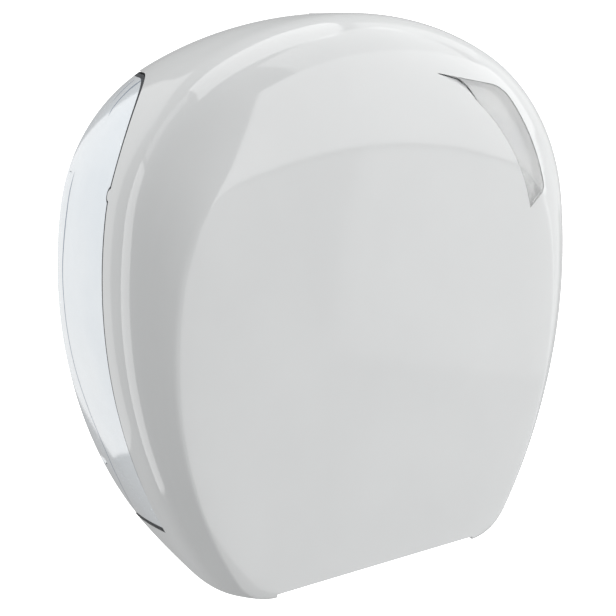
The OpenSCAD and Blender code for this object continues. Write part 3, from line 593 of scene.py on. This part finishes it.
def makeCover():
    skin = bodySolid(0, 0, glossAbs)
    combine(skin, bodySolid(cover["wall"], cover["backOpen"], glossAbs))
    combine(skin, prism(grow(seamDrawing(), cover["seamGap"]), -pastSide, pastSide, acrossPlace))
    for cut in coverCuts():
        combine(skin, cut)
    combine(skin, outletCut())
    for side in (-1, 1):
        addHingeEar(skin, side)
    depth, crown = cover["lockDepth"], bodyForm["height"] * shareAt(cover["lockDepth"])
    pad = crown - cover["wall"] - cover["padWall"]
    padTop, over = pad + cover["padWall"] + cover["padSunk"], crown + cover["pastSkin"]
    combine(skin, prism(circle(0, depth, cover["padRadius"]), pad, padTop, upPlace), "UNION")
    for x in cover["stakeX"]:
        addStake(skin, x)
    combine(skin, prism(circle(0, depth, cover["boreRadius"]), pad - cover["boreStart"], over, upPlace))
    combine(skin, prism(circle(0, depth, cover["bezelRadius"]), crown - cover["bezelWall"], over, upPlace))
    combine(skin, prism(windowDrawing(), window["cutStart"], pastSide, forwardPlace))
    combine(skin, makeLugs(), "UNION")
    return finishPiece(skin, "coverShell", glossAbs, "cover", "cover_shell")


makeCover()


# White sill in the upper corner of the window: it slopes in from the curved border towards the lens
sill = {
    "borderAngles": (67.9, 62.5, 58, 54, 50, 45.9),
    "inner": ((37.2, 291.9), (53.1, 288.2), (59, 284.1), (63.1, 278.9), (67.6, 272.8), (74.2, 268)),
    "sunk": 0.05, "slope": 0.34, "thickness": 1.6, "lensGap": 0.45, "rayStart": -300,
}


def sillBorders(steps=5):
    border = [onWindowArc(angle) for angle in sill["borderAngles"]]
    inner = [Vector(p) for p in sill["inner"]]
    finer = []
    for line in (border, inner):
        finer.append([a.lerp(b, i / steps) for a, b in zip(line, line[1:]) for i in range(steps)] + [line[-1]])
    return finer


def makeSill():
    solid = bodySolid(0, 0, glossAbs)
    corners = [v.co.copy() for v in solid.data.vertices]
    skin = BVHTree.FromPolygons(corners, [tuple(p.vertices) for p in solid.data.polygons])
    rows = []
    for outer, inner in zip(*sillBorders()):
        line = []
        for spot, drop in ((outer, sill["sunk"]), (inner, sill["sunk"] + sill["slope"] * (inner - outer).length)):
            x, z = spot.x * mm, (spot.y - axisHeight) * mm
            front = skin.ray_cast(Vector((x, sill["rayStart"] * mm, z)), Vector((0, 1, 0)))[0].y
            line += [(x, front + drop * mm, z), (x, front + (drop + sill["thickness"]) * mm, z)]
        rows.append([line[0], line[2], line[3], line[1]])
    bpy.data.objects.remove(solid)
    vertices = [v for row in rows for v in row]
    last = 4 * (len(rows) - 1)
    faces = [(i + a, i + (a + 1) % 4, i + 4 + (a + 1) % 4, i + 4 + a) for i in range(0, last, 4) for a in range(4)]
    faces += [(0, 1, 2, 3), (last + 3, last + 2, last + 1, last)]
    piece = tidyMesh(meshObject("sill", vertices, faces))
    return finishPiece(piece, "windowSill", glossAbs, "cover")


makeSill()


# Window lens

lens = {"recess": 0.25, "wall": 2, "flange": 5, "gap": 0.3}


# Keeps the part of a solid that a window drawing covers, or takes it away
def throughDrawing(solid, drawing, operation="INTERSECT"):
    return combine(solid, prism(drawing, window["keepStart"], pastSide, forwardPlace), operation)


def makeLens():
    front = throughDrawing(bodySolid(lens["recess"], 0, lensClear), grow(windowDrawing(), -lens["gap"]))
    outer, inner = sillBorders()
    throughDrawing(front, grow([tuple(p) for p in outer + inner[::-1]], sill["lensGap"]), "DIFFERENCE")
    under = cover["wall"] + lens["gap"]
    flange = throughDrawing(bodySolid(under, 0, lensClear), grow(windowDrawing(), lens["flange"]))
    combine(front, flange, "UNION")
    combine(front, bodySolid(under + lens["wall"], cover["backOpen"], lensClear))
    return finishPiece(front, "windowLens", lensClear, "cover", "window_lens")


makeLens()


# Side casings

casing = {
    "inset": 0.6, "wall": 2.4, "wallGap": 0.3, "innerSide": -50, "notchRadius": 4, "notchDrop": 92, "notchAhead": 1,
    "notchSteps": 48,
    "tabHeights": (62, 150, 228), "tabWidth": 16, "tabDepth": 8, "tabRoot": 0.6, "tabReach": 3.4,
    "rimGap": 1.2, "rimWall": 2,
}


# Takes away whatever lies nearer to the wall than this
def clearWall(piece, depth):
    return combine(piece, prism(rectangle(-pastSide, pastSide, pastWall, depth), pastFloor, pastCrown, upPlace))


def casingNotch(wider=0):
    place = seam["depth"] + casing["notchAhead"], bodyForm["height"] - casing["notchDrop"]
    return circle(*place, casing["notchRadius"] + wider, casing["notchSteps"])


def mirrored(piece):
    for vertex in piece.data.vertices:
        vertex.co.x = -vertex.co.x
    piece.data.flip_normals()
    return piece


def halfWidth(height, share, inset):
    side = [p for p in bodyOutline(inset, bodyForm["sideSteps"]) if p[0] >= 0]
    wanted = height / share
    for (x0, h0), (x1, h1) in zip(side, side[1:]):
        if h1 <= wanted <= h0:
            return share * (x0 + (x1 - x0) * (wanted - h0) / (h1 - h0))
    return 0


def makeCasing(side):
    skin = bodySolid(casing["inset"], 0, blueClear)
    combine(skin, bodySolid(casing["inset"] + casing["wall"], cover["backOpen"], blueClear))
    combine(skin, prism(seamDrawing(), -pastSide, 0, acrossPlace), "INTERSECT")
    for height in casing["tabHeights"]:
        wallX = halfWidth(height, shareAt(casing["tabDepth"]), casing["inset"] + casing["wall"])
        rimX = halfWidth(height, bodyForm["backShare"], cover["wall"] + casing["rimGap"] + casing["rimWall"])
        near, far = casing["tabDepth"], casing["tabDepth"] + casing["tabWidth"] / 2
        tab = rectangle(-wallX - casing["tabRoot"], -rimX + casing["tabReach"], near, far)
        combine(skin, prism(tab, height - casing["tabWidth"] / 2, height + casing["tabWidth"] / 2, upPlace), "UNION")
    combine(skin, prism(casingNotch(), -pastSide, casing["innerSide"], acrossPlace))
    clearWall(skin, casing["wallGap"])
    if side > 0:
        mirrored(skin)
    name = "casingRight" if side > 0 else "casingLeft"
    node = "side_casing_right" if side > 0 else "side_casing_left"
    finishPiece(skin, name, blueClear, "wall_unit", node)
    # The cut faces get the dark painted shade of the seam gap
    finishCutEdges(skin, gapShadeFinish)


makeCasing(-1)
makeCasing(1)


# Painted dark lines on the casing: the shade of the gap along the seam and round the notch, and shade lines inside the
# sheet
casingLines = {
    "seamWidth": 1.7, "notchWidth": 1, "thickness": 0.5, "proud": 0.03, "wallGap": 1.5,
    # depth, height and width along each painted shade line
    "shadeLines": (
        ((18.7, 237, 0.4), (18.6, 230, 1.5), (18.4, 215, 2), (16.6, 197, 2), (14.8, 179, 1.7), (15.4, 161, 1.5),
         (16.4, 145, 1.4), (19.7, 122, 1.4), (26.5, 101, 1.4), (33, 80, 1.4), (34, 62, 1.4), (30.5, 42.5, 1.2),
         (21, 23, 1)),
        ((43.5, 289.6, 0.4), (40.4, 287.2, 1.6), (36.1, 283.7, 2.2), (33.6, 278.3, 1.8), (33.1, 272.9, 1.2),
         (35.4, 269, 0.3)),
        ((25, 288, 0.3), (22.6, 285.6, 1.3), (21.4, 280.7, 1.2), (21, 276, 0.3)),
    ),
}


# A smooth curve through the points of a painted shade line, widened to a narrow leaf
def shadeLineDrawing(shadeLine, steps=5):
    points = [Vector(p) for p in shadeLine]
    line = []
    for i in range(len(points) - 1):
        p0, p1, p2, p3 = points[max(i - 1, 0)], points[i], points[i + 1], points[min(i + 2, len(points) - 1)]
        for k in range(steps):
            u = k / steps
            square, cube = 2 * p0 - 5 * p1 + 4 * p2 - p3, 3 * p1 - p0 - 3 * p2 + p3
            line.append(0.5 * ((2 * p1) + (p2 - p0) * u + square * u * u + cube * u ** 3))
    line.append(points[-1])
    left, right = [], []
    for i, p in enumerate(line):
        along = (line[min(i + 1, len(line) - 1)] - line[max(i - 1, 0)]).xy.normalized()
        across = Vector((-along.y, along.x)) * p.z / 2
        left.append(tuple(p.xy + across))
        right.append(tuple(p.xy - across))
    return left + right[::-1]


# Each prism ends 1 mm away from the one it meets, so that no two end faces lie on each other
def leftPrism(drawing, longer=0):
    return prism(drawing, -pastSide - longer, casing["innerSide"] + longer, acrossPlace)


def makeCasingLines(side):
    word = "Right" if side > 0 else "Left"
    inner = bodySolid(casing["inset"] + casingLines["thickness"], cover["backOpen"], gapShadeFinish)
    band = combine(bodySolid(casing["inset"] - casingLines["proud"], 0, gapShadeFinish), inner)
    # Painted shade of the gap: a dark strip along the seam and a dark ring round the notch
    ring = combine(leftPrism(casingNotch(casingLines["notchWidth"])), leftPrism(casingNotch(), 1))
    edge = combine(leftPrism(seamDrawing()), leftPrism(grow(seamDrawing(), -casingLines["seamWidth"]), 1))
    combine(edge, ring, "UNION")
    combine(edge, leftPrism(seamDrawing(), -1), "INTERSECT")
    combine(edge, leftPrism(casingNotch(), 1))
    combine(edge, band, "INTERSECT", keepTool=True)
    clearWall(edge, casingLines["wallGap"])
    # Painted shade lines inside the sheet, each cut to a thin strip on the casing
    shadeLines = None
    for shadeLine in casingLines["shadeLines"]:
        strip = combine(leftPrism(shadeLineDrawing(shadeLine)), band, "INTERSECT", keepTool=True)
        shadeLines = combine(shadeLines, strip, "UNION") if shadeLines else strip
    bpy.data.objects.remove(band)
    for piece, name, finish in ((edge, "casingGapShade" + word, gapShadeFinish), (shadeLines, "casingShadeLines" + word, shadeLineFinish)):
        if side > 0:
            mirrored(piece)
        finishPiece(piece, name, finish, "wall_unit")


makeCasingLines(-1)
makeCasingLines(1)


# Finishes of the CAD pieces that stay

nodeFinishes = {
    "wall_plate": satinAbs, "roll_spindle": filledNylon, "roll_hub": satinAbs,
    "hub_bush_rear": acetal, "hub_bush_front": acetal,
    "tear_strip": glossAbs, "lock_housing": glossAbs, "lock_barrel": blackNylon, "brake_washer": greyFelt,
    "hinge_pin_left": zincPlate, "hinge_pin_right": zincPlate, "spindle_screws": zincPlate, "keeper_screws": zincPlate,
    "retaining_washer": zincPlate, "retaining_screw": zincPlate, "cam_screw": zincPlate, "latch_keeper": dullSteel,
    "latch_cam": dullSteel, "lock_nut": dullSteel,
}
for nodeName, finish in nodeFinishes.items():
    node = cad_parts[nodeName]
    if not node.material_slots:
        node.data.materials.append(finish)
    for materialSlot in node.material_slots:
        materialSlot.material = finish
print("finishes given to", len(nodeFinishes), "carried-over pieces")


# Studio and camera

# The studio's lengths are in metres, the paper's in millimetres
studio = {
    "floorHeight": -1.4, "wallRadius": 4.2, "bendRadius": 1.2, "bendSteps": 15, "wallTop": 4, "roofTop": 6,
    "roofHole": 0.02, "worldLevel": 0.44, "worldColour": (0.985, 0.995, 1, 1), "lightDistance": 2.2,
    "aimPoint": (0, -0.06, 0),
}
paper = {"colour": "#F0F0F0", "glow": 1.0, "roughness": 0.9, "fibreSize": 25, "fibreRelief": 0.05, "fibreDepth": 0.5}
view = {"lens": 64.39, "sensor": 36, "place": (-0.3496, -0.6272, 0.1499), "towards": (0.49795, 0.82907, -0.25435)}


# Round paper cove, lit from behind: floor, one bend, a wall all round and a tent roof.
# The pieces neither mirror it nor take light from it, so their edges stay dark against it
def makeCove(around=96):
    low, radius, bend = studio["floorHeight"], studio["wallRadius"], studio["bendRadius"]
    turns = [math.radians(90 / studio["bendSteps"] * i) for i in range(studio["bendSteps"] + 1)]
    line = [(radius - bend + bend * math.sin(a), low + bend - bend * math.cos(a)) for a in turns]
    line += [(radius, studio["wallTop"]), (studio["roofHole"], studio["roofTop"])]
    count = len(line)
    vertices = [(r * math.cos(2 * math.pi * k / around), r * math.sin(2 * math.pi * k / around), z)
                for k in range(around) for r, z in line] + [(0, 0, low)]
    starts = [(count * k, count * ((k + 1) % around)) for k in range(around)]
    faces = [(here + i, beside + i, beside + i + 1, here + i + 1) for here, beside in starts for i in range(count - 1)]
    faces += [(around * count, beside, here) for here, beside in starts]
    cove = meshObject("paperCove", vertices, faces)
    material, tree, shader, place = startMaterial("whitePaper")
    fibres = addNode(tree, "ShaderNodeTexNoise", {}, {
        "Vector": place, "Scale": 1 / (paper["fibreSize"] * mm), "Detail": 3})
    relief = addNode(tree, "ShaderNodeBump", {}, {
        "Height": fibres, "Strength": paper["fibreRelief"], "Distance": paper["fibreDepth"] * mm})
    tree.links.new(relief.outputs[0], shader.inputs["Normal"])
    shader.inputs["Base Color"].default_value = linearColour(paper["colour"])
    shader.inputs["Roughness"].default_value = paper["roughness"]
    shader.inputs["Emission Color"].default_value = (1, 1, 1, 1)
    shader.inputs["Emission Strength"].default_value = paper["glow"]
    cove.data.materials.append(material)
    cove.data.shade_smooth()
    cove.visible_diffuse = cove.visible_glossy = cove.visible_shadow = False


def areaLight(name, turn, rise, width, height, brightness):
    light = bpy.data.lights.new(name, "AREA")
    light.shape, light.size, light.size_y = "RECTANGLE", width, height
    light.energy = math.pi * width * height * brightness
    turn, rise = math.radians(turn), math.radians(rise)
    towards = Vector((math.sin(turn) * math.cos(rise), -math.cos(turn) * math.cos(rise), math.sin(rise)))
    lamp = bpy.data.objects.new(name, light)
    lamp.location = Vector(studio["aimPoint"]) + studio["lightDistance"] * towards
    lamp.rotation_euler = (-towards).to_track_quat("-Z", "Y").to_euler()
    lamp.visible_camera = False
    bpy.context.scene.collection.objects.link(lamp)


makeCove()
# name: direction from the front towards +X and above the horizon, in degrees; width and height in metres; brightness
softboxes = {
    "keySoftbox": (45, 16.3, 2.43, 1.25, 2.1),
    "keyHigh": (45, 47, 1.73, 1.18, 1.3),
    "lowSoftbox": (45, -17.5, 2.43, 1.38, 1.05),
    "lowPanel": (53, -9.4, 1.75, 0.73, 0.45),
    "rightSoftbox": (87, -1.5, 0.98, 2.91, 0.55),
    "rightHigh": (90, 47, 0.75, 1.18, 0.9),
    "leftSoftbox": (-106, -8, 1.1, 3.4, 1.95),
    "leftHigh": (-107, 47, 0.67, 1.18, 0.75),
    "rearLeft": (-162, 3, 1.3, 3, 0.47),
    "topSoftbox": (0, 90, 2.0, 2.0, 1.9),
}
for lightName, softbox in softboxes.items():
    areaLight(lightName, *softbox)
world = bpy.data.worlds.new("studio")
world.use_nodes = True
world.node_tree.nodes["Background"].inputs["Color"].default_value = studio["worldColour"]
world.node_tree.nodes["Background"].inputs["Strength"].default_value = studio["worldLevel"]
bpy.context.scene.world = world
bpy.context.scene.view_settings.view_transform = "Standard"

cameraData = bpy.data.cameras.new("camera")
cameraData.lens, cameraData.sensor_width = view["lens"], view["sensor"]
camera = bpy.data.objects.new("camera", cameraData)
camera.location = view["place"]
camera.rotation_euler = Vector(view["towards"]).to_track_quat("-Z", "Y").to_euler()
bpy.context.scene.collection.objects.link(camera)
bpy.context.scene.camera = camera
print("studio and camera made")
